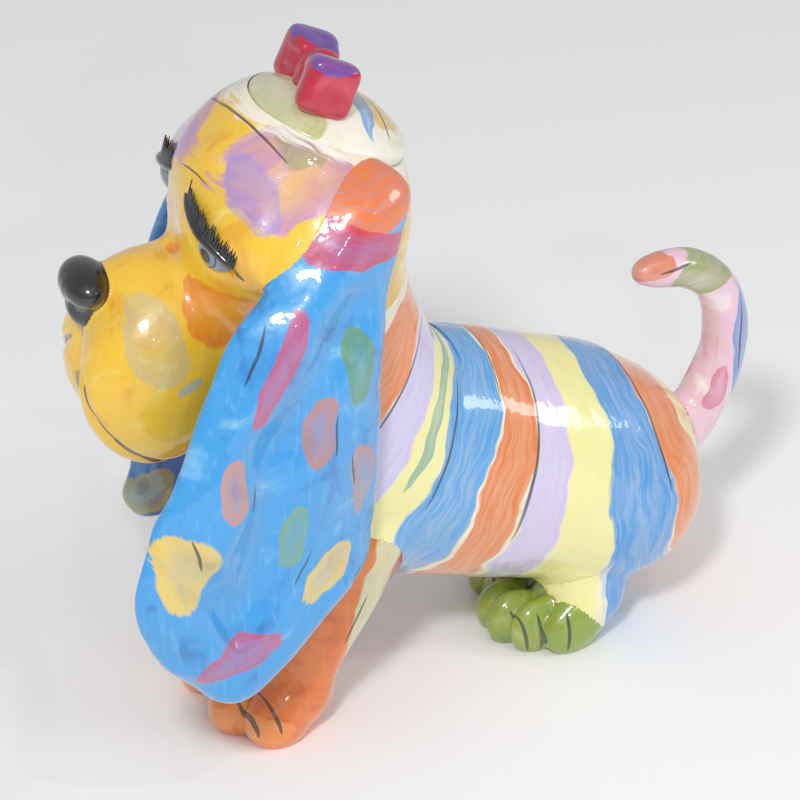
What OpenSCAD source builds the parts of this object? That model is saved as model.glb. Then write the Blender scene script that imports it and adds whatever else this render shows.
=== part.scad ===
// Lidded ceramic jar in the form of a basset hound that looks along -X.
// Millimetres, Z up, soles on Z = 0, the dog's left is -Y. Every piece is cast or
// modelled by itself and luted to its neighbours with slip; the lid lifts off with its bow.

/* [Body] */
// Length of the trunk from the chest to the rump
body_l = 144; // [134:1:154]
// Width of the trunk at the haunches
trunk_w = 94; // [88:1:102]
// Wall of the two hollow castings
wall = 6; // [5:0.5:7]
// Thickness of the tail at its middle
tail_d = 19; // [17:0.5:21]

/* [Head] */
// Radius of the round skull
skull_r = 50; // [49:0.5:52]
// Thickness of an ear
ear_t = 16; // [13:0.5:18]

/* [Lid] */
// Diameter of the lid
lid_d = 61; // [58:0.5:63]
// Thickness of the lid at its edge
lid_t = 5; // [4:0.5:6]
// Clearance between the lid and its seat
lid_gap = 0.5; // [0.4:0.1:0.8]
// Width of the bow over both loops
bow_w = 46; // [42:1:50]

/* [Hidden] */

// ---- Skins ----
function flat(list) = [for (l = list) for (x = l) x];
function sum(v) = v * [for (x = v) 1];
function unit(v) = v / norm(v);

// A closed skin over rings of points; the first and the last ring are single points
module skin(rings) {
  n = len(rings[0]);
  m = len(rings) - 2;
  points = concat([rings[0][0]], flat([for (i = [1:m]) rings[i]]), [rings[m + 1][0]]);
  end = len(points) - 1;
  faces = concat(
    [for (k = [0:n - 1]) [0, 1 + k, 1 + (k + 1) % n]],
    [for (i = [0:m - 2]) for (k = [0:n - 1]) let (a = 1 + i * n, j = (k + 1) % n) [a + k, a + n + k, a + n + j]],
    [for (i = [0:m - 2]) for (k = [0:n - 1]) let (a = 1 + i * n, j = (k + 1) % n) [a + k, a + n + j, a + j]],
    [for (k = [0:n - 1]) [end, end - n + (k + 1) % n, end - n + k]]);
  polyhedron(points, faces, convexity = 6);
}

// ---- Soft unions: clay lumps pressed together ----
// A lump is [centre, radii], a dent is [centre, size, depth]; a higher k keeps sharper creases
function scaled(p, e) = [(p.x - e[0].x) / e[1].x, (p.y - e[0].y) / e[1].y, (p.z - e[0].z) / e[1].z];
function pull(p, e, k) = let (q = scaled(p, e)) pow(q * q, -k);
function inside(p, lumps, k) = sum([for (e = lumps) pull(p, e, k)]) > 1;
function reach(c, d, lumps, k, lo, hi, n) = let (mid = (lo + hi) / 2)
  n == 0 ? mid : inside(c + d * mid, lumps, k) ? reach(c, d, lumps, k, mid, hi, n - 1)
    : reach(c, d, lumps, k, lo, mid, n - 1);
function sunk(p, dents) = len(dents) == 0 ? 0 : sum([for (e = dents) let (q = scaled(p, e)) e[2] * exp(-q * q)]);
function skin_at(c, d, lumps, dents, k) = let (r = reach(c, d, lumps, k, 0, 150, 13))
  c + d * (r - sunk(c + d * r, dents));
// The skin is seen from the point c, with its poles above and below
module soft(c, lumps, dents = [], k = 4, n = 24, m = 14)
  skin([for (i = [0:m]) let (p = 180 * i / m) [for (j = [0:n - 1]) let (a = 360 * j / n)
    skin_at(c, [sin(p) * cos(a), sin(p) * sin(a), -cos(p)], lumps, dents, k)]]);

// ---- Lofts: rings that follow a bent spine ----
// A station is [x, y, z, half width, half height, curl, lean]
function at(rows, u) = let (
    last = len(rows) - 1,
    i = min(max(floor(u), 0), last - 1),
    t = u - i,
    p0 = rows[max(i - 1, 0)],
    p1 = rows[i],
    p2 = rows[i + 1],
    p3 = rows[min(i + 2, last)]
  ) 0.5 * (2 * p1 + (p2 - p0) * t + (2 * p0 - 5 * p1 + 4 * p2 - p3) * t * t
    + (3 * p1 - p0 - 3 * p2 + p3) * t * t * t);
// Stops along the loft: [place from 0 to 1, size from 0 to 1], with a round cap at each end
function stops(caps, nc, nm) = concat(
  [for (k = [0:nc]) [caps[0] * (1 - cos(90 * k / nc)), sin(90 * k / nc)]],
  [for (k = [1:nm - 1]) [caps[0] + (1 - caps[0] - caps[1]) * k / nm, 1]],
  [for (k = [nc:-1:0]) [1 - caps[1] * (1 - cos(90 * k / nc)), sin(90 * k / nc)]]);
function spine(rows, u) = let (r = at(rows, u)) [r[0], r[1], r[2]];
function ring(c, along, side, r, size, n) = let (s = unit(side - (side * along) * along), up = cross(along, s))
  [for (k = [0:n - 1]) let (x = cos(360 * k / n), y = sin(360 * k / n))
    c + size * (s * r[3] * x + up * (r[4] * y + r[5] * x * x + r[6] * x))];
// Rings stand square to the spine, or all lie in the plane whose normal is level
module loft(rows, side = [0, 1, 0], caps = [0.2, 0.2], nc = 4, nm = 6, n = 20, level = undef) {
  last = len(rows) - 1;
  skin([for (t = stops(caps, nc, nm)) let (u = t[0] * last, step = 0.05)
    ring(spine(rows, u), level != undef ? level : unit(spine(rows, min(u + step, last)) - spine(rows, max(u - step, 0))),
      side, at(rows, u), t[1], n)]);
}

// ---- Trunk: hollow barrel, chest and neck ----
girth = trunk_w / 94;
chest_x = -20;
function behind(x) = x > chest_x ? chest_x + (x - chest_x) * body_l / 144 : x;
rump_shift = behind(120) - 120;
// From the rump to the neck: x, z, half width, half height
trunk_rows = [for (r = [
    [120, 57, 42, 40],
    [76, 62, 47, 47],
    [38, 76, 45, 49],
    [4, 88, 43, 50],
    [-20, 100, 43, 49],
    [-38, 122, 43, 48],
    [-47, 152, 40, 43],
    [-54, 192, 34, 38]]) [behind(r[0]), 0, r[1], r[2] * girth, r[3], 0, 0]];
module trunk_form() loft(trunk_rows, caps = [0.16, 0.08], nm = 12, n = 24);
module trunk_cavity() loft([for (i = [0:7]) trunk_rows[i] - [i == 0 ? wall : 0, 0, i == 7 ? -8 : 0, wall, wall, 0, 0]],
  caps = [0.16, 0.08], nm = 8, n = 20);
module torso() color("#e9b06a") difference() {
  trunk_form();
  trunk_cavity();
  head_form();
}

// ---- Head: hollow skull and muzzle, turned a little to the dog's right ----
head_c = [-59.4, 0, 207.5];
head_turn = 14;
skull_c = [4, 0, 1.5];
nose_c = [-72, 0, -21];
eye_c = [-26, 30, 7];
eye_r = 10;
module on_head() translate(head_c) rotate([0, 0, -head_turn]) children();
function head_lumps(less) = [for (e = [
    [skull_c, [skull_r - 5, skull_r - 1, skull_r]],
    [[-12, -27, 8], [20, 22, 20]],
    [[-12, 27, 8], [20, 22, 20]],
    [[-42, 0, -42], [31, 27, 36]],
    [[-50, 0, -22], [23, 13, 13]],
    [[-51, -15, -54], [27, 19, 32]],
    [[-51, 15, -54], [27, 19, 32]]]) [e[0], e[1] - less * [1, 1, 1]]];
head_dents = [
  [[-78, 0, -56], [20, 3, 24], 5],
  [[-46, 0, 4], [18, 30, 15], 8],
  [[-38, 0, 6], [12, 9, 14], 4]];
module head_form() on_head() soft([-30, 0, -20], head_lumps(0), head_dents, n = 32, m = 24);
module head_cavity() difference() {
  on_head() soft([-30, 0, -20], head_lumps(wall), n = 20, m = 14);
  on_lid() translate([0, 0, -lid_t - 9]) cylinder(r = skull_r, h = 30);
  on_head() translate(nose_c) sphere(17);
  for (s = [-1, 1]) eye_form(s, 4);
}
module head() color("#f2c530") difference() {
  head_form();
  head_cavity();
  trunk_cavity();
  nose();
  for (s = [-1, 1]) { eye_form(s); lash_form(s); }
  on_lid() translate([0, 0, -lid_t - lid_gap]) cylinder(r = lid_d / 2 + lid_gap, h = 30, $fn = 72);
  on_lid() translate([0, 0, -30]) cylinder(r = mouth_r, h = 40, $fn = 72);
}
module nose() color("#16161b") on_head() soft(nose_c, [
  [nose_c + [0, 0, 2], [9, 14, 10]],
  [nose_c + [1, 0, -5], [8, 9, 8]]], k = 3, n = 18, m = 10);

module eye_form(s, more = 0) on_head() translate([eye_c.x, s * eye_c.y, eye_c.z]) sphere(eye_r + more);
module left_eye() color("#61718f") eye_form(-1);
module right_eye() color("#61718f") eye_form(1);
// Heavy upper lids whose lashes droop outwards
module lash_form(s) on_head() loft([
    [-33, s * 5, 20, 2, 2, 0, 0],
    [-36, s * 17, 17, 3, 3, 0, 0],
    [-35, s * 31, 13, 3.5, 3.5, 0, 0],
    [-27, s * 44, 5, 2, 2, 0, 0]], side = [0, 0, 1], nc = 3, n = 10);
module left_lash() color("#16161b") difference() { lash_form(-1); eye_form(-1); }
module right_lash() color("#16161b") difference() { lash_form(1); eye_form(1); }

// ---- Ears: level slices [height, front, back, side, curl, lean] from the root down ----
function slices(list) = [for (r = list) [(r[1] + r[2]) / 2, r[3], r[0], (r[2] - r[1]) / 2, ear_t / 2, r[4], r[5]]];
left_slices = slices([
  [240, -54, -31, -41, 0, 0],
  [230, -62, -31, -46, 0, 0],
  [215, -77, -36, -50, -2, 0],
  [202, -96, -41, -54, -4, 0],
  [190, -108, -43, -56, -5, 0],
  [175, -116, -45, -58, -5, 0],
  [158, -125, -46, -58, -5, -2],
  [140, -135, -46, -59, -4, -4],
  [120, -147, -46, -58, -3, -6],
  [100, -151, -47, -57, -3, -6],
  [83, -146, -52, -57, -3, -5],
  [66, -136, -74, -57, -2, -3],
  [47, -123, -97, -56, 0, 0]]);
right_slices = slices([
  [240, -52, -26, 41, 0, 0],
  [230, -56, -19, 46, 0, 0],
  [215, -66, -19, 50, 2, 0],
  [200, -76, -22, 53, 3, 0],
  [180, -84, -26, 58, 4, 0],
  [160, -90, -30, 59, 4, 0],
  [140, -94, -32, 59, 4, 0],
  [120, -97, -34, 59, 4, 0],
  [100, -97, -40, 55, 3, 0],
  [85, -98, -50, 54, 3, 0],
  [72, -103, -64, 52, 2, 0],
  [60, -102, -74, 50, 0, 0]]);
module ear_form(rows) loft(rows, side = [1, 0, 0], caps = [0.08, 0.12], nm = 12, level = [0, 0, -1]);
module left_ear() color("#4aa3e6") difference() { ear_form(left_slices); head_form(); trunk_form(); }
module right_ear() color("#3d7fc8") difference() { ear_form(right_slices); head_form(); trunk_form(); }

// ---- Legs: the right paws stand a little further back than the left ones ----
front_step = 3;
rear_step = 11;
module ground() translate([-200, -100, -60]) cube([400, 200, 60]);
module front_leg(s, back = 0) translate([back, 0, 0]) difference() {
  union() {
    loft([
      [-44, s * 23, 84, 20, 22, 0, 0],
      [-48, s * 25, 60, 16, 17, 0, 0],
      [-62, s * 26, 32, 12, 13, 0, 0],
      [-70, s * 25, 10, 13, 13, 0, 0]], nc = 3, n = 18);
    soft([-79, s * 22, 10], [
      [[-88, s * 15, 9], [12, 10, 12]],
      [[-79, s * 29, 9], [13, 11, 13]],
      [[-71, s * 23, 12], [15, 13, 13]]], n = 24, m = 12);
  }
  ground();
}
module front_left_leg() color("#e0702c") difference() { front_leg(-1); trunk_form(); ear_form(left_slices); }
module front_right_leg() color("#e6b394") difference() { front_leg(1, front_step); trunk_form(); ear_form(right_slices); }
module rear_leg(s, back = 0) translate([rump_shift + back, 0, 0]) difference() {
  union() {
    soft([76, s * 24, 46], [
      [[80, s * 23, 54], [31, 25, 30]],
      [[62, s * 26, 20], [15, 15, 16]]]);
    soft([46, s * 20, 9], [
      [[36, s * 6, 9], [12, 7, 11]],
      [[35, s * 16, 9], [12, 6.5, 12]],
      [[40, s * 26, 9], [12, 6.5, 12]],
      [[50, s * 34, 9], [12, 7, 11]],
      [[56, s * 20, 12], [14, 15, 14]]], k = 5, n = 28, m = 10);
  }
  ground();
}
module rear_left_leg() color("#8c9a3a") difference() { rear_leg(-1); trunk_form(); }
module rear_right_leg() color("#8c9a3a") difference() { rear_leg(1, rear_step); trunk_form(); }

// ---- Tail, raised and curled forwards ----
tail_rows = [for (r = [
    [108, 46, 9],
    [127, 66, 10],
    [141, 94, 9.5],
    [137, 121, 8.5],
    [122, 135, 8],
    [97, 139, 6.5]]) let (t = r[2] * tail_d / 19) [r[0] + rump_shift, 0, r[1], t, t, 0, 0]];
module tail() color("#e9c6d6") difference() { loft(tail_rows, caps = [0.1, 0.12], nm = 9, n = 16); trunk_form(); }

// ---- Lid and bow, on the lid's own axis; its rim lies at height 0 ----
lid_tilt = 23.5;
rim_h = sqrt(skull_r * skull_r - lid_d * lid_d / 4);
mouth_r = lid_d / 2 - 6;
module on_lid() on_head() translate(skull_c) rotate([0, lid_tilt, 0]) translate([0, 0, rim_h]) children();
module dome(less = 0) translate([0, 0, -rim_h]) sphere(skull_r - less, $fn = 96);
module lid_plate() color("#f4f0e4") on_lid() difference() {
  intersection() {
    translate([0, 0, -lid_t]) cylinder(r = lid_d / 2, h = 30, $fn = 72);
    dome();
  }
  intersection() {
    translate([0, 0, -lid_t - 1]) cylinder(r = mouth_r - 8, h = 30, $fn = 72);
    dome(lid_t);
  }
}
module lid_ring() color("#efe7d2") on_lid() translate([0, 0, -lid_t - 8]) difference() {
  cylinder(r = mouth_r - lid_gap, h = 8, $fn = 72);
  translate([0, 0, -1]) cylinder(r = mouth_r - 6, h = 10, $fn = 72);
}
module on_bow() on_lid() translate([-9, 0, -3]) rotate([-5, 0, -4]) children();
module bow_loop(s) difference() {
  on_bow() soft([0, s * 13, 17], [
    [[0, s * 8, 17], [8, 8, 9]],
    [[-1, s * 15, 20], [9, bow_w / 2 - 15, 8]],
    [[0, s * 16, 14], [10, bow_w / 2 - 16, 8]]], k = 5, n = 18, m = 10);
  on_lid() dome();
  bow_knot_form();
}
module bow_knot_form() on_bow() translate([0, 0, 15]) scale([9, 6, 11]) sphere(1, $fn = 24);
module bow_left_loop() color("#d11f45") bow_loop(-1);
module bow_right_loop() color("#2c3f9e") bow_loop(1);
module bow_knot() color("#b81c40") difference() { bow_knot_form(); on_lid() dome(); }

torso();
head();
left_ear();
right_ear();
nose();
left_eye();
right_eye();
left_lash();
right_lash();
front_left_leg();
front_right_leg();
rear_left_leg();
rear_right_leg();
tail();
lid_plate();
lid_ring();
bow_left_loop();
bow_right_loop();
bow_knot();
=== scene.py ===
"""A lidded ceramic jar in the form of a basset hound, painted by hand under a thick clear glaze.

Shapes are made in millimetres, in the frame of the CAD model, and put into Blender in metres.
"""
import math

import bpy
import numpy as np
from mathutils import Matrix, Vector
from mathutils.bvhtree import BVHTree


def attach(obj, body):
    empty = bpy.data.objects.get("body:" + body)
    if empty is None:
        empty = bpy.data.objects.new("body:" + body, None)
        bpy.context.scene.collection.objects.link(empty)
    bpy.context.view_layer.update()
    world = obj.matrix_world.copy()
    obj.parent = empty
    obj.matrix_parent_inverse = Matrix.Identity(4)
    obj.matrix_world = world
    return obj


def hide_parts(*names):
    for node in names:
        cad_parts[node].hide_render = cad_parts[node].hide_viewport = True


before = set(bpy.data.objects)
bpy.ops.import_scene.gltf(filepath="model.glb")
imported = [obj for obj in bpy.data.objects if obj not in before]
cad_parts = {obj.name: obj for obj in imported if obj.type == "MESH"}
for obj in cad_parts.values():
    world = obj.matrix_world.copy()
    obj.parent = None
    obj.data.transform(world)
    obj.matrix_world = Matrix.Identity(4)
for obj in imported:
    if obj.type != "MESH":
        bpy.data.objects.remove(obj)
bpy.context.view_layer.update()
MM = 0.001
DETAIL = 1.0

# ---- Places that the pieces share ----
HEAD_C, HEAD_TURN = np.array([-59.4, 0, 207.5]), 14
SKULL_C, SKULL_R = np.array([4, 0, 1.5]), 50
SOFT_C = np.array([-30, 0, -20])
WALL = 6
LID_R, LID_T, LID_TILT, LID_GAP = 30.5, 5, 23.5, 0.5
RIM_H = math.sqrt(SKULL_R ** 2 - LID_R ** 2)
MOUTH_R = LID_R - 6


def turned(v, axis, degrees):
    return np.asarray(v, float) @ np.array(Matrix.Rotation(math.radians(degrees), 3, axis)).T


def on_head(v):
    return turned(v, "Z", -HEAD_TURN) + HEAD_C


def on_lid(v):
    return on_head(turned(np.asarray(v, float) + [0, 0, RIM_H], "Y", LID_TILT) + SKULL_C)


def on_bow(v):
    return on_lid(turned(turned(v, "X", -5), "Z", -4) + [-9, 0, -3])


# ---- Skins: a skin is (points, faces), closed, with its faces outwards ----
def skin(rings):
    """A closed skin over rings of points; the first and the last ring are single points."""
    m, n = rings.shape[0] - 2, rings.shape[1]
    points = np.concatenate([rings[0, :1], rings[1:-1].reshape(-1, 3), rings[-1, :1]])
    k = np.arange(n)
    j = (k + 1) % n
    end = len(points) - 1
    faces = [(0, 1 + b, 1 + a) for a, b in zip(k, j)]
    for i in range(m - 1):
        a, b = 1 + i * n, 1 + (i + 1) * n
        faces += list(zip(a + k, a + j, b + j, b + k))
    faces += [(end, end - n + a, end - n + b) for a, b in zip(k, j)]
    faces = [tuple(int(x) for x in f) for f in faces]
    middle = points.mean(0)
    corners = np.array([points[list(f[:3])] for f in faces]) - middle
    volume = np.einsum("ij,ij->i", corners[:, 0], np.cross(corners[:, 1], corners[:, 2])).sum()
    return points, faces if volume > 0 else [f[::-1] for f in faces]


def soft(centre, lumps, dents=(), k=4, n=96, m=64):
    """Clay lumps (centre, radii) pressed together, seen from centre; a higher k keeps sharper creases."""
    n, m = int(n * DETAIL), int(m * DETAIL)
    p, a = np.meshgrid(np.linspace(0, math.pi, m + 1), np.arange(n) * 2 * math.pi / n, indexing="ij")
    d = np.stack([np.sin(p) * np.cos(a), np.sin(p) * np.sin(a), -np.cos(p)], -1)
    near, far = np.zeros(p.shape), np.full(p.shape, 150.0)
    for _ in range(20):
        half = (near + far) / 2
        q = centre + d * half[..., None]
        pull = sum(np.maximum((((q - c) / np.array(r)) ** 2).sum(-1), 1e-9) ** -k for c, r in lumps)
        near, far = np.where(pull > 1, half, near), np.where(pull > 1, far, half)
    q = centre + d * near[..., None]
    depth = sum((s * np.exp(-(((q - c) / np.array(r)) ** 2).sum(-1)) for c, r, s in dents), np.zeros(p.shape))
    return skin(centre + d * (near - depth)[..., None])


def at(rows, u):
    """Stations at the places u, on smooth curves through the rows."""
    last = len(rows) - 1
    i = np.clip(np.floor(u).astype(int), 0, last - 1)
    t = (u - i)[:, None]
    p0, p1, p2, p3 = (rows[np.clip(i + s, 0, last)] for s in (-1, 0, 1, 2))
    return 0.5 * (2 * p1 + (p2 - p0) * t + (2 * p0 - 5 * p1 + 4 * p2 - p3) * t ** 2
                  + (3 * p1 - p0 - 3 * p2 + p3) * t ** 3)


def loft(rows, side=(0, 1, 0), caps=(0.2, 0.2), nc=12, nm=80, n=96, level=None, square=2):
    """Rings along a bent spine; a station is x, y, z, half width, half height, curl, lean."""
    nc, nm, n = max(5, int(nc * DETAIL)), int(nm * DETAIL), int(n * DETAIL)
    rows = np.array(rows, float)
    last = len(rows) - 1
    q = np.linspace(0, math.pi / 2, nc + 1)
    place = np.concatenate([caps[0] * (1 - np.cos(q)), np.linspace(caps[0], 1 - caps[1], nm + 1)[1:-1],
                            1 - caps[1] * (1 - np.cos(q[::-1]))])
    size = np.concatenate([np.sin(q), np.ones(nm - 1), np.sin(q[::-1])])
    u = place * last
    r = at(rows, u)
    if level is None:
        along = at(rows, np.minimum(u + 0.05, last))[:, :3] - at(rows, np.maximum(u - 0.05, 0))[:, :3]
    else:
        along = np.tile(np.array(level, float), (len(u), 1))
    along /= np.linalg.norm(along, axis=1, keepdims=True)
    s = np.array(side, float) - along * (along @ np.array(side, float))[:, None]
    s /= np.linalg.norm(s, axis=1, keepdims=True)
    up = np.cross(along, s)
    a = np.arange(n) * 2 * math.pi / n
    x, y = (np.sign(f) * np.abs(f) ** (2 / square) for f in (np.cos(a), np.sin(a)))
    across = r[:, 3:4] * x
    over = r[:, 4:5] * y + r[:, 5:6] * x ** 2 + r[:, 6:7] * x
    offset = s[:, None] * across[..., None] + up[:, None] * over[..., None]
    return skin(r[:, None, :3] + size[:, None, None] * offset)


def lathe(profile, n=160):
    """A turned body from (radius, height) points that start and end on the axis."""
    a = np.arange(n) * 2 * math.pi / n
    rings = [np.stack([r * np.cos(a), r * np.sin(a), np.full(n, float(z))], -1) for r, z in profile]
    return skin(np.array(rings))


def rounded(profile, reach, steps=5):
    """The profile with each corner but the first and last cut to a small curve."""
    out = [profile[0]]
    for a, b, c in zip(profile, profile[1:], profile[2:]):
        a, b, c = np.array(a, float), np.array(b, float), np.array(c, float)
        start = b + (a - b) * min(reach / np.linalg.norm(a - b), 0.45)
        end = b + (c - b) * min(reach / np.linalg.norm(c - b), 0.45)
        for t in np.linspace(0, 1, steps):
            out.append(tuple((1 - t) ** 2 * start + 2 * t * (1 - t) * b + t * t * end))
    return out + [profile[-1]]


def moved(s, place):
    return place(s[0]), s[1]


def normals(s):
    points, faces = s
    total = np.zeros_like(points)
    for size in (3, 4):
        f = np.array([g for g in faces if len(g) == size])
        if len(f):
            flat = np.cross(points[f[:, 2]] - points[f[:, 0]], points[f[:, -1]] - points[f[:, 1]] if size == 4
                            else points[f[:, 2]] - points[f[:, 1]])
            for k in range(size):
                np.add.at(total, f[:, k], flat)
    return total / np.maximum(np.linalg.norm(total, axis=1, keepdims=True), 1e-12)


def press(s, path, width, depth, out=None):
    """Presses a groove along a path into the skin; a negative depth raises a ridge."""
    path = np.array(path, float)
    near = np.full(len(s[0]), 1e9)
    for a, b in zip(path, path[1:]):
        t = np.clip(((s[0] - a) @ (b - a)) / ((b - a) @ (b - a)), 0, 1)
        near = np.minimum(near, np.linalg.norm(s[0] - a - t[:, None] * (b - a), axis=1))
    amount = depth * np.exp(-(near / width) ** 2)
    return s[0] - normals(s) * amount[:, None], s[1]


def by_hand(s, seed, amount=0.35):
    """The slight waviness of clay smoothed by hand."""
    draw = np.random.default_rng(seed)
    wave = np.zeros(len(s[0]))
    for length, part in ((46, 1), (33, 0.8), (21, 0.45), (12, 0.2), (8, 0.1)):
        for _ in range(3):
            way = draw.normal(size=3)
            along = s[0] @ (way / np.linalg.norm(way)) * 2 * math.pi / length
            wave += part * np.sin(along + draw.uniform(0, 6.3))
    return s[0] + normals(s) * (amount * wave / 3)[:, None], s[1]


# ---- Joins: where two pieces meet, the slip between them is smoothed to a hollow fillet ----
def tree_of(s):
    return BVHTree.FromPolygons(s[0].tolist(), s[1])


def height_over(tree, points, reach):
    """How far each point lies outside the skin; points further off than reach count as far away."""
    out = np.full(len(points), 1e3)
    for i, p in enumerate(points):
        p = Vector(p)
        hit, normal, _, gap = tree.find_nearest(p, reach)
        if hit is not None:
            out[i] = gap if (p - hit).dot(normal) > 0 else -gap
    return out


def smooth_least(a, b, k):
    return np.minimum(a, b) - np.maximum(k - np.abs(a - b), 0) ** 2 / (4 * k)


def join(skins, joins):
    """Raises each pair of skins towards their smooth union, and tucks each under the other beyond it."""
    trees = {name: tree_of(s) for name, s in skins.items()}
    rise = {name: np.zeros(len(s[0])) for name, s in skins.items()}
    for a, b, k in joins:
        for one, other in ((a, b), (b, a)):
            points, out = skins[one][0], normals(skins[one])
            start = height_over(trees[other], points, k * 1.05)
            live = np.nonzero((start < k) & (start > -0.5))[0]
            if not len(live):
                continue
            t = np.zeros(len(live))
            for _ in range(5):
                over = height_over(trees[other], points[live] + out[live] * t[:, None], k * 2)
                t = np.clip(t - 0.9 * smooth_least(t, over, k), 0, k)
            t = np.minimum(t, np.maximum(over, 0) + 0.6 * np.clip(start[live] + 0.5, 0, 1))
            rise[one][live] = np.maximum(rise[one][live], t)
    return {name: (s[0] + normals(s) * rise[name][:, None], s[1]) for name, s in skins.items()}


# ---- Head ----
def head_lumps(less):
    lumps = [
        (SKULL_C, (SKULL_R - 5, SKULL_R - 1, SKULL_R)),
        ((-12, -27, 8), (20, 22, 20)),
        ((-12, 27, 8), (20, 22, 20)),
        ((-42, 0, -42), (31, 27, 36)),
        ((-50, 0, -22), (23, 13, 13)),
        ((-51, -15, -54), (27, 19, 32)),
        ((-51, 15, -54), (27, 19, 32))]
    return [(c, np.array(r, float) - less) for c, r in lumps]


NOSE_C, EYE_C, EYE_R = np.array([-72, 0, -21]), np.array([-26, 30, 7]), 10
HEAD_DENTS = [
    ((-78, 0, -56), (20, 3, 24), 5),
    ((-46, 0, 4), (18, 30, 15), 8),
    ((-38, 0, 6), (12, 9, 14), 4)]
head = soft(SOFT_C, head_lumps(0), HEAD_DENTS, n=340, m=220)
for s in (-1, 1):
    # The lips hang from the nose round the chin
    head = press(head, [(-81, s * 1, -33), (-80, s * 8, -42), (-77, s * 17, -51), (-74, s * 22, -61),
                        (-68, s * 25, -71), (-58, s * 25, -79), (-46, s * 22, -86)], 2.2, 2.2)
    # The opening between the lids, the lower lid's roll, and the hollow under the eye
    head = press(head, [(-37, s * 22, 9), (-35, s * 31, 5), (-30, s * 39, 3)], 4.5, 4.5)
    head = press(head, [(-39, s * 18, 7), (-38, s * 25, 0), (-35, s * 34, -3), (-29, s * 42, -2)], 2.4, -1.6)
    head = press(head, [(-42, s * 20, -10), (-36, s * 36, -14)], 6, 1.6)
head = moved(by_hand(head, 3), on_head)
nose = soft(NOSE_C, [(NOSE_C + [0, 0, 4], (9, 14.5, 8)), (NOSE_C + [1, 0, -5], (8, 8, 9))],
            [(NOSE_C + [-8, s * 6.5, -3], (3.2, 2.6, 3), 2.4) for s in (-1, 1)]
            + [(NOSE_C + [-9, 0, -8], (6, 1.2, 9), 1.0)], k=3, n=120, m=90)
nose = moved(by_hand(nose, 4, 0.2), on_head)


def eye(s):
    return moved(soft(EYE_C * [1, s, 1], [(EYE_C * [1, s, 1], (EYE_R,) * 3)], n=80, m=60), on_head)


LASH = [(-33, 5, 20, 1.4, 1.4), (-36, 17, 17, 2, 2.1), (-35, 31, 13, 2.2, 2.4), (-27, 44, 5, 1.4, 1.4)]


def lash(s):
    """The heavy lid's edge, with a fringe of stiff lashes along its upper side."""
    rows = np.array([(x, s * y, z, w, h, 0, 0) for x, y, z, w, h in LASH], float)
    parts = [loft(rows, side=(0, 0, 1), nm=60, n=40)]
    draw = np.random.default_rng(11 + s)
    for u in np.linspace(0.25, 2.9, 44):
        here, ahead = at(rows, np.array([u]))[0], at(rows, np.array([min(u + 0.05, 3)]))[0]
        root = here[:3]
        out = root - EYE_C * [1, s, 1] + [8, 0, 0]
        out /= np.linalg.norm(out)
        lift = np.array([1.6, 0, 6.2]) * draw.uniform(0.7, 1.2)
        tip = root + out * 1.5 + lift + (ahead - here)[:3] * draw.uniform(-1, 1.5)
        hair = []
        for t in (0, 0.5, 1):
            thick = 0.9 * (1 - t) + 0.12
            hair.append((*(root * (1 - t) + tip * t), thick, thick, 0, 0))
        parts.append(loft(hair, side=(0, 1, 0), caps=(0.1, 0.1), nc=5, nm=8, n=14))
    return [moved(p, on_head) for p in parts]


# ---- Trunk, neck and tail ----
TRUNK = [(x, 0, z, w, h, 0, 0) for x, z, w, h in (
    (120, 57, 42, 40), (76, 62, 47, 47), (38, 76, 45, 49), (4, 88, 43, 50),
    (-20, 100, 43, 49), (-38, 122, 43, 48), (-47, 152, 40, 43), (-54, 192, 34, 38))]
TAIL = [(x, 0, z, r, r, 0, 0) for x, z, r in (
    (108, 46, 9), (127, 66, 10), (141, 94, 9.5), (137, 121, 8.5), (122, 135, 8), (97, 139, 6.5))]
torso = by_hand(loft(TRUNK, caps=(0.16, 0.08), nc=24, nm=170, n=210), 5, 0.45)
tail = by_hand(loft(TAIL, caps=(0.1, 0.12), nm=110, n=80), 6)


# ---- Ears: level slices [height, front, back, side, curl, lean] from the root down ----
EAR_T = 16
LEFT_EAR = [
    (240, -54, -31, -41, 0, 0), (230, -62, -31, -46, 0, 0), (215, -77, -36, -50, -2, 0),
    (202, -96, -41, -54, -4, 0), (190, -108, -43, -56, -5, 0), (175, -116, -45, -58, -5, 0),
    (158, -125, -46, -58, -5, -2), (140, -135, -46, -59, -4, -4), (120, -147, -46, -58, -3, -6),
    (100, -151, -47, -57, -3, -6), (83, -146, -52, -57, -3, -5), (66, -136, -74, -57, -2, -3),
    (47, -123, -97, -56, 0, 0)]
RIGHT_EAR = [
    (240, -52, -26, 41, 0, 0), (230, -56, -19, 46, 0, 0), (215, -66, -19, 50, 2, 0),
    (200, -76, -22, 53, 3, 0), (180, -84, -26, 58, 4, 0), (160, -90, -30, 59, 4, 0),
    (140, -94, -32, 59, 4, 0), (120, -97, -34, 59, 4, 0), (100, -97, -40, 55, 3, 0),
    (85, -98, -50, 54, 3, 0), (72, -103, -64, 52, 2, 0), (60, -102, -74, 50, 0, 0)]


def ear(slices):
    rows = [((front + back) / 2, side, z, (back - front) / 2, EAR_T / 2, curl, lean)
            for z, front, back, side, curl, lean in slices]
    return loft(rows, side=(1, 0, 0), caps=(0.08, 0.12), nc=24, nm=190, n=250, level=(0, 0, -1))


def folded(s, side, folds):
    """Bends a whole sheet in or out along lines in x and z; a fold is start, end, width and depth."""
    points = s[0].copy()
    for start, end, width, depth in folds:
        start, end = np.array(start, float), np.array(end, float)
        flat = s[0][:, [0, 2]] - start
        t = np.clip(flat @ (end - start) / ((end - start) @ (end - start)), 0, 1)
        gap = np.linalg.norm(flat - t[:, None] * (end - start), axis=1)
        points[:, 1] -= side * depth * np.exp(-(gap / width) ** 2)
    return points, s[1]


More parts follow.
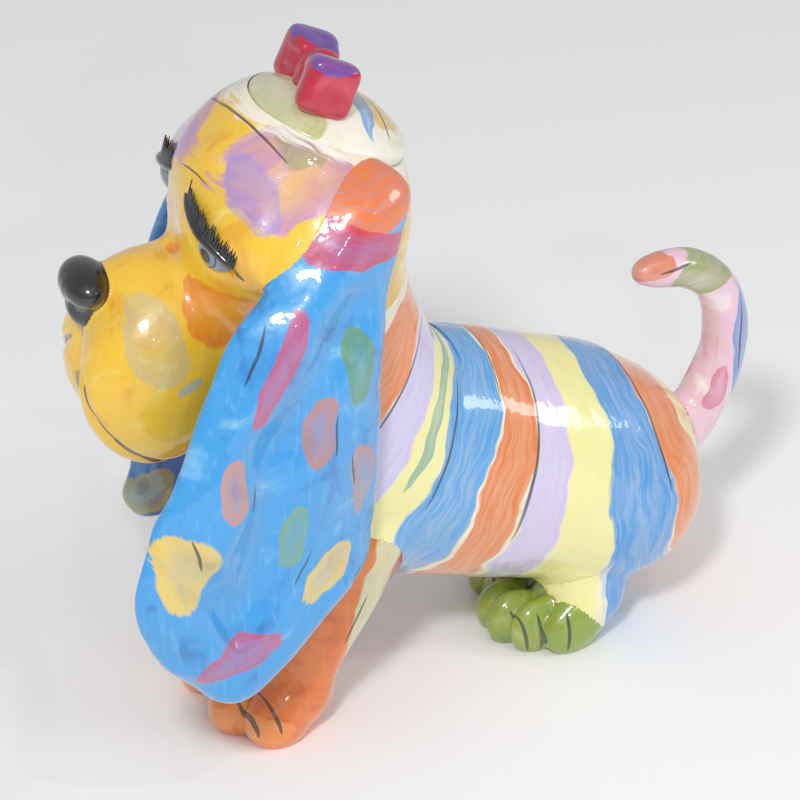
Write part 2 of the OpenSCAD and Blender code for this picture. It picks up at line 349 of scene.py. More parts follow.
left_ear = folded(ear(LEFT_EAR), -1, (
    ((-60, 196), (-92, 152), 12, 4.5), ((-96, 146), (-104, 92), 12, 4.5), ((-142, 132), (-112, 84), 8, 3),
    ((-134, 96), (-124, 74), 12, -1.2), ((-66, 80), (-112, 54), 8, -1.2)))
for path, width, depth in (
        ([(-52, -53, 228), (-66, -60, 214), (-88, -64, 192), (-106, -66, 168), (-122, -68, 148)], 8, -2.0),
        ([(-58, -60, 196), (-76, -66, 172), (-92, -66, 148), (-100, -66, 118), (-104, -66, 92)], 8, 2.0),
        ([(-49, -62, 196), (-50, -66, 160), (-50, -66, 118), (-56, -64, 92)], 6, -1.8),
        ([(-146, -66, 132), (-132, -68, 112), (-118, -66, 94), (-112, -64, 78)], 6, 2.8),
        ([(-112, -68, 128), (-122, -68, 118), (-134, -68, 122)], 6, -1.6),
        ([(-62, -62, 80), (-80, -62, 64), (-102, -62, 52), (-122, -62, 52)], 7, -2.2),
        ([(-136, -66, 92), (-128, -66, 74)], 12, -1.8)):
    left_ear = press(left_ear, path, width, depth)
left_ear = by_hand(left_ear, 7, 0.4)
right_ear = folded(ear(RIGHT_EAR), 1, (
    ((-36, 184), (-70, 96), 11, 3.5), ((-90, 118), (-82, 76), 9, 2.5)))
for path, width, depth in (
        ([(-24, 56, 214), (-46, 64, 190), (-66, 66, 160), (-84, 66, 132)], 8, -2.4),
        ([(-32, 62, 186), (-48, 66, 160), (-60, 66, 130), (-70, 62, 92)], 10, 3.6),
        ([(-92, 44, 118), (-84, 44, 92), (-80, 44, 74)], 8, 2.6)):
    right_ear = press(right_ear, path, width, depth)
right_ear = by_hand(right_ear, 8, 0.4)


# ---- Legs ----
FRONT_STEP, REAR_STEP = 3, 11


def above_ground(s):
    return np.stack([s[0][:, 0], s[0][:, 1], np.maximum(s[0][:, 2], 0)], -1), s[1]


def front_leg(s, back=0):
    shank = loft([(-44, s * 23, 84, 20, 22, 0, 0), (-48, s * 25, 60, 16, 17, 0, 0),
                  (-62, s * 26, 32, 12, 13, 0, 0), (-70, s * 25, 10, 13, 13, 0, 0)], nc=16, nm=90, n=100)
    paw = soft(np.array([-79, s * 22, 10]), [
        ((-88, s * 15, 9), (12, 10, 12)), ((-79, s * 29, 9), (13, 11, 13)),
        ((-71, s * 23, 12), (15, 13, 13))],
        n=150, m=100)
    paw = press(paw, [(-94, s * 25, 4), (-90, s * 24, 14), (-84, s * 22, 22)], 1.6, 1.6)
    both = join({"shank": by_hand(shank, 21 + s), "paw": by_hand(paw, 31 + s, 0.2)}, [("shank", "paw", 9)])
    return [(np.array(v) + [back, 0, 0], f) for v, f in both.values()]


def rear_leg(s, back=0):
    haunch = soft(np.array([76, s * 24, 46]), [
        ((80, s * 23, 54), (31, 25, 30)), ((62, s * 26, 20), (15, 15, 16))], n=160, m=110)
    paw = soft(np.array([46, s * 20, 9]), [
        ((36, s * 6, 9), (12, 7, 11)), ((35, s * 16, 9), (12, 6.5, 12)), ((40, s * 26, 9), (12, 6.5, 12)),
        ((50, s * 34, 9), (12, 7, 11)), ((56, s * 20, 12), (14, 15, 14))], k=5, n=180, m=110)
    both = join({"haunch": by_hand(haunch, 41 + s), "paw": by_hand(paw, 51 + s, 0.2)}, [("haunch", "paw", 8)])
    return [(np.array(v) + [back, 0, 0], f) for v, f in both.values()]


legs = {
    "front_left_leg": front_leg(-1), "front_right_leg": front_leg(1, FRONT_STEP),
    "rear_left_leg": rear_leg(-1), "rear_right_leg": rear_leg(1, REAR_STEP)}

# ---- Slip between the pieces ----
skins = {"torso": torso, "head": head, "nose": nose, "tail": tail,
         "left_ear": left_ear, "right_ear": right_ear}
joins = [("torso", "head", 14), ("nose", "head", 2), ("tail", "torso", 9),
         ("left_ear", "head", 10), ("right_ear", "head", 10),
         ("left_ear", "torso", 4), ("right_ear", "torso", 4)]
for name, (top, foot) in legs.items():
    skins[name] = top
    joins.append((name, "torso", 12 if "front" in name else 10))
skins = join(skins, joins)
for name, (top, foot) in legs.items():
    legs[name] = [above_ground(skins[name]), above_ground(foot)]


# ---- Lid and bow ----
def arc_profile(radius, centre, start, end, steps):
    """Points of a dome's outline from radius start to end, measured from the axis."""
    return [(r, centre + math.sqrt(radius ** 2 - r * r)) for r in np.linspace(start, end, steps)]


recess = MOUTH_R - 8
lid_plate = lathe(
    [(0, -RIM_H + SKULL_R)] + arc_profile(SKULL_R, -RIM_H, 2, LID_R - 2.5, 24)
    + rounded([(LID_R - 2.5, -RIM_H + math.sqrt(SKULL_R ** 2 - (LID_R - 2.5) ** 2)), (LID_R, 0),
               (LID_R, -LID_T), (recess, -LID_T), (recess, 1)], 1.3)[1:]
    + arc_profile(SKULL_R - LID_T, -RIM_H, recess - 1, 2, 8) + [(0, SKULL_R - LID_T - RIM_H)], 200)
lid_plate = moved(by_hand(lid_plate, 61, 0.12), on_lid)
BOW_W = 46


def bow_loop(s):
    """A plump pillow of clay, pinched where it meets the knot."""
    half = BOW_W / 2
    rows = [(0, s * 2, 15, 5, 6, 0, 0), (0, s * 7, 16, 8, 8.5, 0, 0), (-1, s * 13, 17, 9.6, 10, 0, 0),
            (-1, s * 19, 17.5, 10, 10.2, 0, 0), (-1, s * half, 17.5, 8, 8.6, 0, 0)]
    loop = loft(rows, side=(1, 0, 0), caps=(0.1, 0.16), nc=14, nm=60, n=120, square=4.5)
    for path, width, depth in (
            ([(-9, s * 4, 20), (-10, s * 12, 18)], 1.6, 1.2),
            ([(-9, s * 4, 13), (-10, s * 11, 12)], 1.6, 1.2),
            ([(8, s * 4, 21), (9, s * 12, 20)], 1.6, 1.2),
            ([(0, s * 3, 23), (1, s * 11, 27)], 2, 1.4),
            ([(-11, s * 18, 8), (11, s * 18, 8)], 4, -0.8),
            ([(0, s * (half + 1), 17), (0, s * (half - 1), 19)], 6, 1.0)):
        loop = press(loop, path, width, depth)
    return loop


knot = soft(np.array([0, 0, 15.0]), [((0, 0, 15), (9.2, 6, 11))], k=4, n=110, m=80)
for x in (-1, 1):
    for y in (-3, 0, 3):
        knot = press(knot, [(x * 9, y, 8), (x * 9, y * 0.4, 16), (x * 5, y * 0.7, 25)], 0.9, 0.7)
bow = {"bow_left_loop": by_hand(bow_loop(-1), 62, 0.2), "bow_right_loop": by_hand(bow_loop(1), 63, 0.2),
       "bow_knot": by_hand(knot, 64, 0.15)}
bow = join({k: moved(v, on_bow) for k, v in bow.items()},
           [("bow_left_loop", "bow_knot", 2), ("bow_right_loop", "bow_knot", 2)])


# ---- Nodes and paints ----
def linear(text):
    """An sRGB colour such as #f4c52a as linear red, green, blue, alpha."""
    parts = [int(text[i:i + 2], 16) / 255 for i in (1, 3, 5)]
    return tuple(c / 12.92 if c <= 0.04045 else ((c + 0.055) / 1.055) ** 2.4 for c in parts) + (1.0,)


def node(tree, kind, inputs=None, **settings):
    """Adds one node; each input is a value or another node's output."""
    made = tree.nodes.new(kind)
    for key, value in settings.items():
        setattr(made, key, value)
    for key, value in (inputs or {}).items():
        if isinstance(value, bpy.types.NodeSocket):
            tree.links.new(value, made.inputs[key])
        else:
            made.inputs[key].default_value = value
    return made


def group(name, inputs, outputs):
    tree = bpy.data.node_groups.new(name, "ShaderNodeTree")
    for side, sockets in (("INPUT", inputs), ("OUTPUT", outputs)):
        for socket, kind in sockets:
            tree.interface.new_socket(socket, in_out=side, socket_type="NodeSocket" + kind)
    return tree, tree.nodes.new("NodeGroupInput").outputs, tree.nodes.new("NodeGroupOutput").inputs


# A colour mix's sockets go by place, because their names repeat
MIX_BY, MIX_FROM, MIX_TO = 0, 6, 7


def brush_group():
    """One brush mark: an oval of thin colour, streaked along its length, with pigment pooled at its rim."""
    tree, i, o = group(
        "brush mark",
        [("Place", "Vector"), ("Centre", "Vector"), ("Turn", "Vector"), ("Size", "Vector"),
         ("Colour", "Color"), ("Base", "Color"), ("Strength", "Float"), ("Thin", "Float")],
        [("Colour", "Color")])
    local = node(tree, "ShaderNodeMapping", {
        "Vector": i["Place"], "Location": i["Centre"], "Rotation": i["Turn"], "Scale": i["Size"]},
        vector_type="TEXTURE").outputs[0]
    reach = node(tree, "ShaderNodeVectorMath", {0: local}, operation="LENGTH").outputs["Value"]
    in_mm = node(tree, "ShaderNodeVectorMath", {0: local, 1: i["Size"]}, operation="MULTIPLY").outputs[0]
    # Bristles draw streaks about 20 mm long and 1.4 mm apart
    bristle = node(tree, "ShaderNodeVectorMath", {0: in_mm, 1: (0.05, 0.05, 0.7), 2: i["Centre"]},
                   operation="MULTIPLY_ADD").outputs[0]
    streak = node(tree, "ShaderNodeTexNoise", {
        "Vector": bristle, "Scale": 1.0, "Detail": 2.0, "Roughness": 0.6}).outputs[0]
    swing = node(tree, "ShaderNodeMath", {0: streak, 1: 0.5}, operation="SUBTRACT").outputs[0]
    ragged = node(tree, "ShaderNodeMath", {0: swing, 1: 0.34, 2: reach}, operation="MULTIPLY_ADD").outputs[0]
    inside = node(tree, "ShaderNodeMapRange", {"Value": ragged, "From Min": 1.0, "From Max": 0.9},
                  interpolation_type="SMOOTHSTEP").outputs[0]
    pool = node(tree, "ShaderNodeMapRange", {
        "Value": ragged, "From Min": 0.1, "From Max": 0.95, "To Min": i["Thin"], "To Max": 1.0}).outputs[0]
    uneven = node(tree, "ShaderNodeMapRange", {
        "Value": streak, "From Min": 0.25, "From Max": 0.65, "To Min": 0.72, "To Max": 1.0}).outputs[0]
    oval = node(tree, "ShaderNodeMath", {0: inside, 1: pool}, operation="MULTIPLY").outputs[0]
    load = node(tree, "ShaderNodeMath", {0: uneven, 1: i["Strength"]}, operation="MULTIPLY").outputs[0]
    cover = node(tree, "ShaderNodeMath", {0: oval, 1: load}, operation="MULTIPLY", use_clamp=True).outputs[0]
    done = node(tree, "ShaderNodeMix", {MIX_BY: cover, MIX_FROM: i["Base"], MIX_TO: i["Colour"]},
                data_type="RGBA")
    tree.links.new(done.outputs[2], o["Colour"])
    return tree


def wash_group():
    """The first thin coat: three tints that run into each other, with soft streaks."""
    tree, i, o = group(
        "wash", [("Place", "Vector"), ("Main", "Color"), ("Light", "Color"), ("Deep", "Color")],
        [("Colour", "Color")])
    # The tints change over about 22 mm
    cloud = node(tree, "ShaderNodeTexNoise", {
        "Vector": i["Place"], "Scale": 0.045, "Detail": 3.0, "Roughness": 0.55, "Distortion": 0.8}).outputs[0]
    pale = node(tree, "ShaderNodeMapRange", {"Value": cloud, "From Min": 0.56, "From Max": 0.78},
                interpolation_type="SMOOTHSTEP").outputs[0]
    dark = node(tree, "ShaderNodeMapRange", {"Value": cloud, "From Min": 0.46, "From Max": 0.3},
                interpolation_type="SMOOTHSTEP").outputs[0]
    long = node(tree, "ShaderNodeVectorMath", {0: i["Place"], 1: (0.42, 0.42, 0.04)},
                operation="MULTIPLY").outputs[0]
    streak = node(tree, "ShaderNodeTexNoise", {"Vector": long, "Scale": 1.0, "Detail": 2.0}).outputs[0]
    thin = node(tree, "ShaderNodeMapRange", {
        "Value": streak, "From Min": 0.54, "From Max": 0.76, "To Max": 0.3},
        interpolation_type="SMOOTHSTEP").outputs[0]
    some = node(tree, "ShaderNodeMath", {0: dark, 1: 0.8}, operation="MULTIPLY").outputs[0]
    first = node(tree, "ShaderNodeMix", {MIX_BY: pale, MIX_FROM: i["Main"], MIX_TO: i["Light"]},
                 data_type="RGBA").outputs[2]
    second = node(tree, "ShaderNodeMix", {MIX_BY: some, MIX_FROM: first, MIX_TO: i["Deep"]},
                  data_type="RGBA").outputs[2]
    done = node(tree, "ShaderNodeMix", {MIX_BY: thin, MIX_FROM: second, MIX_TO: i["Light"]},
                data_type="RGBA").outputs[2]
    tree.links.new(done, o["Colour"])
    return tree


def glaze_group():
    """Thick clear glaze over the paint, a little wavy and with a few pinholes."""
    tree, i, o = group("clear glaze", [("Colour", "Color"), ("Place", "Vector")], [("Surface", "Shader")])
    # Swells of about 9 mm, a finer ripple of 2 mm, and pinholes about 6 mm apart
    swell = node(tree, "ShaderNodeTexNoise", {"Vector": i["Place"], "Scale": 0.11, "Detail": 2.0}).outputs[0]
    grain = node(tree, "ShaderNodeTexNoise", {"Vector": i["Place"], "Scale": 0.55, "Detail": 1.0}).outputs[0]
    pits = node(tree, "ShaderNodeTexVoronoi", {"Vector": i["Place"], "Scale": 0.17}).outputs["Distance"]
    pit = node(tree, "ShaderNodeMapRange", {
        "Value": pits, "From Min": 0.03, "From Max": 0.1, "To Min": 0.0, "To Max": 1.0},
        interpolation_type="SMOOTHSTEP").outputs[0]
    rippled = node(tree, "ShaderNodeMath", {0: grain, 1: 0.08, 2: swell}, operation="MULTIPLY_ADD").outputs[0]
    height = node(tree, "ShaderNodeMath", {0: pit, 1: 0.12, 2: rippled}, operation="MULTIPLY_ADD").outputs[0]
    bump = node(tree, "ShaderNodeBump", {"Height": height, "Strength": 0.35, "Distance": 0.0012}).outputs[0]
    body = node(tree, "ShaderNodeBsdfPrincipled", {
        "Base Color": i["Colour"], "Roughness": 0.32, "IOR": 1.5, "Coat Weight": 1.0,
        "Coat Roughness": 0.025, "Coat IOR": 1.55, "Normal": bump, "Coat Normal": bump})
    tree.links.new(body.outputs[0], o["Surface"])
    return tree


BRUSH, WASH, GLAZE = brush_group(), wash_group(), glaze_group()
INK = "#26242c"
LINE_WIDTH = 2.5


def mark(x, z, degrees, long, wide, colour, strength=0.95, thin=0.7, y=0, deep=400):
    """A brush mark seen from the side: centre, direction, half length and half width in mm."""
    return (x, y, z), (0, -math.radians(degrees), 0), (long, deep, wide), colour, strength, thin


def line(x, z, degrees, long, wide=0.55, y=0, deep=400):
    return mark(x, z, degrees, long, wide, INK, 0.9, 1.0, y, deep)


def strokes(path, wide, colour=INK, strength=0.95):
    """Short thin strokes from place to place along a path."""
    out = []
    for a, b in zip(path, path[1:]):
        way = Vector(b) - Vector(a)
        turn = tuple(way.to_track_quat("X", "Z").to_euler())
        out.append((tuple((Vector(a) + Vector(b)) / 2), turn, (way.length * 0.62, wide * 3, wide), colour,
                    strength, 1.0))
    return out


def paint(name, wash, marks, unroll=None):
    """A painted and glazed material; unroll = (x, z, radius) lays bands square to the bent trunk."""
    made = bpy.data.materials.new(name)
    made.use_nodes = True
    tree = made.node_tree
    tree.nodes.clear()
    here = node(tree, "ShaderNodeTexCoord").outputs["Object"]
    place = node(tree, "ShaderNodeVectorMath", {0: here, "Scale": 1 / MM}, operation="SCALE").outputs[0]
    flow = place
    if unroll:
        x0, z0, radius = unroll
        parts = node(tree, "ShaderNodeSeparateXYZ", {0: place}).outputs
        dx = node(tree, "ShaderNodeMath", {0: parts[0], 1: x0}, operation="SUBTRACT").outputs[0]
        dz = node(tree, "ShaderNodeMath", {0: z0, 1: parts[2]}, operation="SUBTRACT").outputs[0]
        angle = node(tree, "ShaderNodeMath", {0: dx, 1: dz}, operation="ARCTAN2").outputs[0]
        along = node(tree, "ShaderNodeMath", {0: angle, 1: radius}, operation="MULTIPLY").outputs[0]
        high = node(tree, "ShaderNodeMath", {0: dz, 1: dz}, operation="MULTIPLY").outputs[0]
        both = node(tree, "ShaderNodeMath", {0: dx, 1: dx, 2: high}, operation="MULTIPLY_ADD").outputs[0]
        far = node(tree, "ShaderNodeMath", {0: both}, operation="SQRT").outputs[0]
        flow = node(tree, "ShaderNodeCombineXYZ", {0: along, 1: parts[1], 2: far}).outputs[0]
    # A hand never draws straight: broad marks stray up to 8 mm, thin lines 1.5 mm
    sway = node(tree, "ShaderNodeTexNoise", {"Vector": flow, "Scale": 0.035, "Detail": 2.0}).outputs["Color"]
    swayed = node(tree, "ShaderNodeVectorMath", {0: sway, 1: (0.5,) * 3}, operation="SUBTRACT").outputs[0]
    broad, fine = (node(tree, "ShaderNodeVectorMath", {0: swayed, 1: (reach,) * 3, 2: flow},
                        operation="MULTIPLY_ADD").outputs[0] for reach in (16.0, 3.0))
    tints = dict(zip(("Main", "Light", "Deep"), map(linear, wash)))
    colour = node(tree, "ShaderNodeGroup", {"Place": place, **tints}, node_tree=WASH).outputs[0]
    for centre, turn, size, tint, strength, thin in marks:
        colour = node(tree, "ShaderNodeGroup", {
            "Place": fine if min(size) < LINE_WIDTH else broad, "Centre": centre, "Turn": turn, "Size": size,
            "Colour": linear(tint), "Base": colour, "Strength": strength, "Thin": thin},
            node_tree=BRUSH).outputs[0]
    glaze = node(tree, "ShaderNodeGroup", {"Colour": colour, "Place": place}, node_tree=GLAZE)
    node(tree, "ShaderNodeOutputMaterial", {"Surface": glaze.outputs[0]})
    return made


YELLOW, BLUE = ("#f6c62c", "#fae07a", "#e9a61e"), ("#389fe4", "#86c8f0", "#2478c6")
ORANGE, CREAM = ("#ec7f2c", "#f4a868", "#dc6420"), ("#f6f2e2", "#fffdf5", "#ece2c4")
lid_turn = tuple((Matrix.Rotation(math.radians(-HEAD_TURN), 3, "Z")
                  @ Matrix.Rotation(math.radians(LID_TILT), 3, "Y")).to_euler())
lid_place = tuple(on_lid([0, 0, 0]))

LIP = [(-80, 5, -40), (-77, 15, -48), (-74, 22, -60), (-68, 25.5, -70), (-58, 25.5, -79), (-47, 22, -86)]
LID_EDGE = [(-38, 13, 19), (-37, 21, 17), (-35, 31, 12), (-30, 40, 6), (-24, 45, 1)]
LOWER_EDGE = [(-39, 15, 12), (-39, 20, 5), (-38, 26, 1), (-35, 34, -2), (-29, 42, -1)]
face_lines = []
for side in (-1, 1):
    for path, wide, tint in ((LIP, 1.1, INK), (LID_EDGE, 1.3, INK), (LOWER_EDGE, 0.8, INK)):
        face_lines += strokes([tuple(on_head([x, side * y, z])) for x, y, z in path], wide, tint)
chin = [(tuple(on_head([-76, 0, -66])), (0, 0, 0), (16, 9, 15), "#7d8a6a", 0.9, 0.7)]
face_paint = paint("face, yellow brushwork", YELLOW, chin + face_lines + [
    mark(-70, 240, 20, 24, 13, "#b06fd6", 0.75, 0.35), mark(-84, 236, 60, 12, 7, "#8f8ee0", 0.55, 0.4),
    mark(-60, 252, 30, 14, 7, "#7d9a58", 0.6, 0.5), mark(-92, 186, 70, 15, 12, "#ee7d1c", 0.9, 0.6),
    mark(-118, 176, 80, 17, 12, "#a9b7a8", 0.5, 0.5), mark(-108, 160, 20, 6, 2, "#7fb4cf", 0.7, 0.8),
    mark(-64, 208, 75, 14, 8, "#f2a02a", 0.6, 0.5), (lid_place, lid_turn, (37, 37, 60), "#fbf7ea", 0.95, 1.0),
    line(-76, 254, 120, 10), line(-96, 240, 115, 7), line(-66, 214, 70, 8)])
ear_paint = paint("near ear, sky-blue brushwork", BLUE, [
    mark(-46, 236, 0, 30, 14, "#ee7a1e", 1.0, 1.0), mark(-56, 219, -10, 26, 7, "#cf1f45", 0.95, 0.8),
    mark(-92, 184, 60, 26, 6, "#d23a58", 0.9, 0.7), mark(-60, 176, 95, 16, 8, "#6a9a48", 0.9, 0.6),
    mark(-76, 152, 80, 15, 6.5, "#c87a4c", 0.9, 0.5), mark(-112, 140, 75, 14, 6, "#e08a3c", 0.85, 0.5),
    mark(-58, 128, 95, 17, 6, "#c98a68", 0.85, 0.4), mark(-90, 112, 85, 13, 6, "#7fa86a", 0.85, 0.5),
    mark(-134, 112, 100, 15, 13, "#f4cf3e", 0.95, 0.8), mark(-72, 92, 40, 16, 7, "#f4cf3e", 0.9, 0.7),
    mark(-112, 70, 10, 18, 8, "#cf3a5c", 0.85, 0.6),
    line(-100, 190, 62, 12), line(-70, 150, 84, 9), line(-62, 132, 98, 8), line(-128, 118, 105, 9),
    line(-84, 98, 60, 8), line(-104, 134, 80, 6)])
# The far ear's blue wash is the near ear's blue made darker. This is painted shade for that ear's face turned
# from the light; its strokes are the ear's own colours.
far_ear_paint_with_painted_shade = paint("far ear, blue brushwork darkened as painted shade", ("#3b7fc4", "#7db4e0", "#23467c"), [
    mark(-46, 236, 0, 30, 14, "#ee7a1e", 1.0, 1.0), mark(-40, 216, 8, 26, 7, "#cf1f45", 0.95, 0.8),
    mark(-60, 180, 100, 18, 7, "#6a9a48", 0.9, 0.6), mark(-76, 140, 85, 16, 8, "#e08a3c", 0.85, 0.5),
    mark(-50, 120, 95, 15, 6, "#d23a58", 0.85, 0.5), mark(-92, 74, 40, 14, 9, "#b9b13c", 0.8, 0.6),
    line(-64, 160, 95, 10), line(-80, 120, 80, 8)])
bands = [(-124, 12, "#ea7c30"), (-104, 9, "#c9c2ec"), (-88, 8, "#f3ee9a"), (-70, 11, "#2f9be2"),
         (-50, 9, "#e57726"), (-33, 8, "#cfc6ee"), (-16, 10, "#f4ef9c"), (4, 12, "#2c94e0"),
         (24, 9, "#ec7a1c"), (44, 12, "#f3e480"),
         (66, 11, "#efe27a"), (86, 9, "#e8bd44")]
body_paint = paint("trunk, brushed bands", ("#f3ecd0", "#fbf6e6", "#e9dcae"), [
    mark(x, 150, 90, 130, w, tint, 1.0, 0.92) for x, w, tint in bands] + [
    mark(52, 150, 80, 26, 7, "#3a9be0", 0.9, 0.6), mark(-88, 140, 95, 30, 3, "#3f9aa0", 0.85, 0.6),
    line(-112, 140, 92, 32), line(-78, 150, 88, 26), line(-40, 150, 91, 34, 0.7), line(15, 150, 93, 26),
    line(34, 130, 88, 16, 1.2), line(60, 150, 84, 20), line(-58, 110, 90, 20)], unroll=(70, 240, 140))
front_leg_paint = paint("front legs, orange brushwork", ORANGE, [
    mark(-38, 70, 70, 40, 6, "#cfe0b8", 0.95, 0.8), mark(-28, 66, 70, 40, 5, "#a3203e", 0.95, 0.9),
    mark(-92, 8, 0, 14, 6, "#f2a04c", 0.7, 0.5), line(-50, 50, 66, 12),
    line(-91, 13, 100, 7, 0.8), line(-84, 15, 100, 7, 0.8)])
rear_leg_paint = paint("rear legs, olive brushwork", ("#8fa33c", "#b9c46a", "#5e7a2a"), [
    mark(84, 60, 80, 40, 22, "#f0d95a", 0.95, 0.8), mark(74, 14, 80, 20, 9, "#f2c93a", 0.9, 0.7),
    mark(96, 66, 70, 22, 7, "#4aaee8", 0.85, 0.6), mark(70, 66, 85, 22, 8, "#f08a2e", 0.85, 0.6),
    line(32, 9, 100, 8, 0.8), line(38, 10, 95, 9, 0.8), line(46, 11, 90, 9, 0.8)])
tail_paint = paint("tail, pink and blue brushwork", ("#ecc6d8", "#f8eaf0", "#d99ab8"), [
    mark(146, 110, 85, 60, 5, "#4a94d8", 0.9, 0.8), mark(126, 134, 10, 18, 9, "#86a23c", 0.9, 0.7),
    mark(98, 141, 5, 14, 6, "#e07a34", 0.9, 0.8), mark(132, 82, 60, 10, 4, "#d0608c", 0.8, 0.5),
    line(143, 104, 88, 18), line(112, 140, 5, 8)])
lid_paint = paint("lid, white with yellow strokes", CREAM, [
    mark(-14, 250, -20, 26, 12, "#e6b92c", 0.95, 0.8), mark(-58, 258, 20, 16, 8, "#aab04a", 0.8, 0.6),
    mark(-30, 256, 60, 16, 4, "#3a9be0", 0.9, 0.6, -20, 22), line(-22, 252, 62, 14, 0.7, -20, 24),
    line(-46, 262, 20, 8)])
bow_paint = paint("bow, crimson and violet", ("#bb1236", "#cf3a54", "#8a0f28"), [
    (tuple(on_bow([0, -17, 30])), (0, 0, 0), (13, 12, 7), "#3c4bb0", 0.85, 0.8),
    (tuple(on_bow([0, 17, 30])), (0, 0, 0), (13, 14, 9), "#2f43a8", 0.9, 0.85)])
# Black glaze for the nose and the lashes. The blue-grey mark on the front of the nose is a painted sheen.
black_paint_and_nose_sheen = paint("black glaze", ("#131318", "#1d1d24", "#0b0b0e"), [
    mark(-134, 186, 30, 7, 3, "#2a3a4e", 0.5, 0.5)])


def unit_to(v):
    return np.array(v, float) / np.linalg.norm(v)


def eye_paint():
    """Blue-grey iris round a black pupil, a dark outline and a white ball beyond."""
    made = paint("eye, blue-grey iris", ("#8fa6bc", "#c6d6e2", "#5b6f88"), [])
    tree = made.node_tree
    glaze = next(n for n in tree.nodes if n.type == "GROUP" and n.node_tree == GLAZE)
    colour = glaze.inputs["Colour"].links[0].from_socket
    place = glaze.inputs["Place"].links[0].from_socket
    for s in (-1, 1):
        iris = on_head(EYE_C * [1, s, 1] + unit_to((-9.5, s * 4.2, -1)) * EYE_R)
        far = node(tree, "ShaderNodeVectorMath", {0: place, 1: tuple(iris)},
                   operation="DISTANCE").outputs["Value"]
        for low, high, tint in ((5.6, 5.2, "#2b3444"), (4.9, 4.5, "#6f8aa8"), (3.0, 2.7, "#0d0d12")):
            inside = node(tree, "ShaderNodeMapRange", {
                "Value": far, "From Min": low, "From Max": high}).outputs[0]
            colour = node(tree, "ShaderNodeMix", {MIX_BY: inside, MIX_FROM: colour, MIX_TO: linear(tint)},
                          data_type="RGBA").outputs[2]
    tree.links.new(colour, glaze.inputs["Colour"])
    return made


# ---- Pieces ----
def mesh_object(name, parts):
    """One object in metres from several closed skins in millimetres."""
    points, faces = [], []
    for v, f in parts:
        faces += [tuple(i + len(points) for i in g) for g in f]
        points += (v * MM).tolist()
    mesh = bpy.data.meshes.new(name)
    mesh.from_pydata(points, [], faces)
    made = bpy.data.objects.new(name, mesh)
    bpy.context.scene.collection.objects.link(made)
    return made


def cut(obj, cutters):
    """Cuts closed skins out of an object."""
    for cutter in cutters:
        tool = mesh_object("cutter", [cutter])
        step = obj.modifiers.new("cut", "BOOLEAN")
        step.operation, step.solver, step.object = "DIFFERENCE", "MANIFOLD", tool
        done = bpy.data.meshes.new_from_object(obj.evaluated_get(bpy.context.evaluated_depsgraph_get()))
        obj.modifiers.clear()
        obj.data = done
        bpy.data.objects.remove(tool)


def piece(name, body, parts, material, cutters=(), foot_material=None):
    """A finished piece; with a foot material, the skins after the first are painted with it."""
    made = mesh_object("painted_" + name, parts)
    cut(made, cutters)
    made.data.materials.clear()
    made.data.materials.append(material)
    if foot_material:
        made.data.materials.append(foot_material)
        for face in made.data.polygons[len(parts[0][1]):]:
            face.material_index = 1
    made.data.shade_smooth()
    made.data.set_sharp_from_angle(angle=math.radians(50))
    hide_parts(name)
    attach(made, body)
    return made


trunk_hollow = loft(np.array(TRUNK) - [[WALL if i == 0 else 0, 0, -8 if i == 7 else 0, WALL, WALL, 0, 0]
                                       for i in range(8)], caps=(0.16, 0.08), nc=10, nm=40, n=72)
head_hollow = moved(soft(SOFT_C, head_lumps(WALL), n=100, m=72), on_head)
inner_head = moved(soft(SOFT_C, head_lumps(3), n=100, m=72), on_head)
seat_r, seat_z = LID_R + LID_GAP, -LID_T - LID_GAP
seat = moved(lathe([(0, seat_z), (seat_r, seat_z), (seat_r, 25), (0, 25)], 200), on_lid)
mouth = moved(lathe([(0, -26), (MOUTH_R, -26), (MOUTH_R, 0), (0, 0)], 160), on_lid)

piece("torso", "jar", [skins["torso"]], body_paint, [trunk_hollow, inner_head])
piece("head", "jar", [skins["head"]], face_paint, [head_hollow, trunk_hollow, seat, mouth])
piece("left_ear", "jar", [skins["left_ear"]], ear_paint, [inner_head])
piece("right_ear", "jar", [skins["right_ear"]], far_ear_paint_with_painted_shade, [inner_head])
piece("nose", "jar", [skins["nose"]], black_paint_and_nose_sheen)
eyes = eye_paint()
for name, s in (("left", -1), ("right", 1)):
    piece(name + "_eye", "jar", [eye(s)], eyes)
    piece(name + "_lash", "jar", lash(s), black_paint_and_nose_sheen)
for name, parts in legs.items():
    if "front" in name:
        piece(name, "jar", parts, front_leg_paint)
    else:
        piece(name, "jar", parts, body_paint, foot_material=rear_leg_paint)
piece("tail", "jar", [skins["tail"]], tail_paint)
piece("lid_plate", "lid", [lid_plate], lid_paint)
for name, s in bow.items():
    piece(name, "lid", [s], bow_paint)
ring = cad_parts["lid_ring"]
ring.data.materials.clear()
ring.data.materials.append(lid_paint)


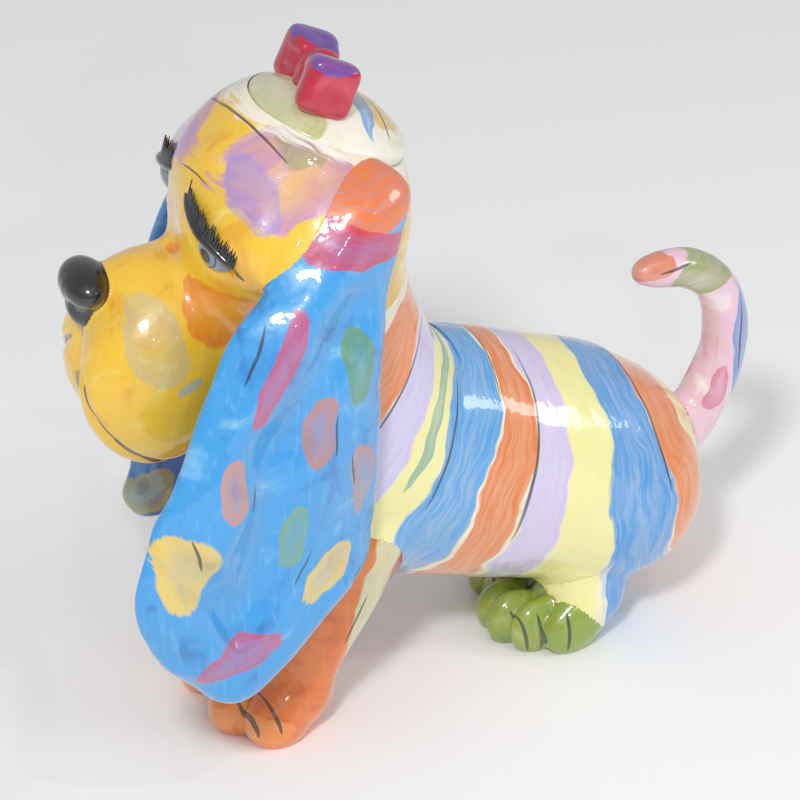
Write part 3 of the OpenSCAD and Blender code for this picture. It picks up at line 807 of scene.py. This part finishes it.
# ---- Stage, light and camera ----
def stage_material():
    made = bpy.data.materials.new("pale studio floor")
    made.use_nodes = True
    tree = made.node_tree
    body = tree.nodes["Principled BSDF"]
    body.inputs["Base Color"].default_value = linear("#fdfdfc")
    body.inputs["Roughness"].default_value = 0.6
    body.inputs["Specular IOR Level"].default_value = 0.2
    return made


reach = 6e3
corners = [(-reach, -reach, 0), (reach, -reach, 0), (reach, reach, 0), (-reach, reach, 0)]
floor = mesh_object("floor", [(np.array(corners), [(0, 1, 2, 3)])])
floor.data.materials.append(stage_material())

world = bpy.data.worlds.new("soft white room")
bpy.context.scene.world = world
world.use_nodes = True
world.node_tree.nodes["Background"].inputs["Color"].default_value = linear("#fbfcff")
world.node_tree.nodes["Background"].inputs["Strength"].default_value = 0.5


def lamp(name, place, size, power, aim=(-0.02, 0, 0.12), colour="#ffffff"):
    data = bpy.data.lights.new(name, "AREA")
    data.shape, data.size, data.energy, data.color = "DISK", size, power, linear(colour)[:3]
    made = bpy.data.objects.new(name, data)
    made.location = place
    made.rotation_euler = (Vector(aim) - Vector(place)).to_track_quat("-Z", "Y").to_euler()
    bpy.context.scene.collection.objects.link(made)


lamp("key softbox", (-0.9, -1.0, 1.5), 0.26, 15)
lamp("fill", (1.2, -0.8, 0.9), 0.5, 3.5)
lamp("sparkle left", (-0.6, -1.5, 1.0), 0.05, 1.6)
lamp("sparkle high", (0.2, -1.0, 1.8), 0.05, 1.6)
lamp("sparkle right", (0.7, -1.4, 0.9), 0.05, 1.2)

azimuth, elevation, distance = math.radians(-30), math.radians(31), 1.5
back = Vector((math.sin(azimuth) * math.cos(elevation), -math.cos(azimuth) * math.cos(elevation),
               math.sin(elevation)))
camera = bpy.data.objects.new("camera", bpy.data.cameras.new("camera"))
camera.data.lens, camera.data.sensor_width = 177.5, 36
camera.location = Vector((-0.0078, 0, 0.1135)) + back * distance
camera.rotation_euler = back.to_track_quat("Z", "Y").to_euler()
bpy.context.scene.collection.objects.link(camera)
bpy.context.scene.camera = camera
bpy.context.scene.view_settings.view_transform = "Standard"
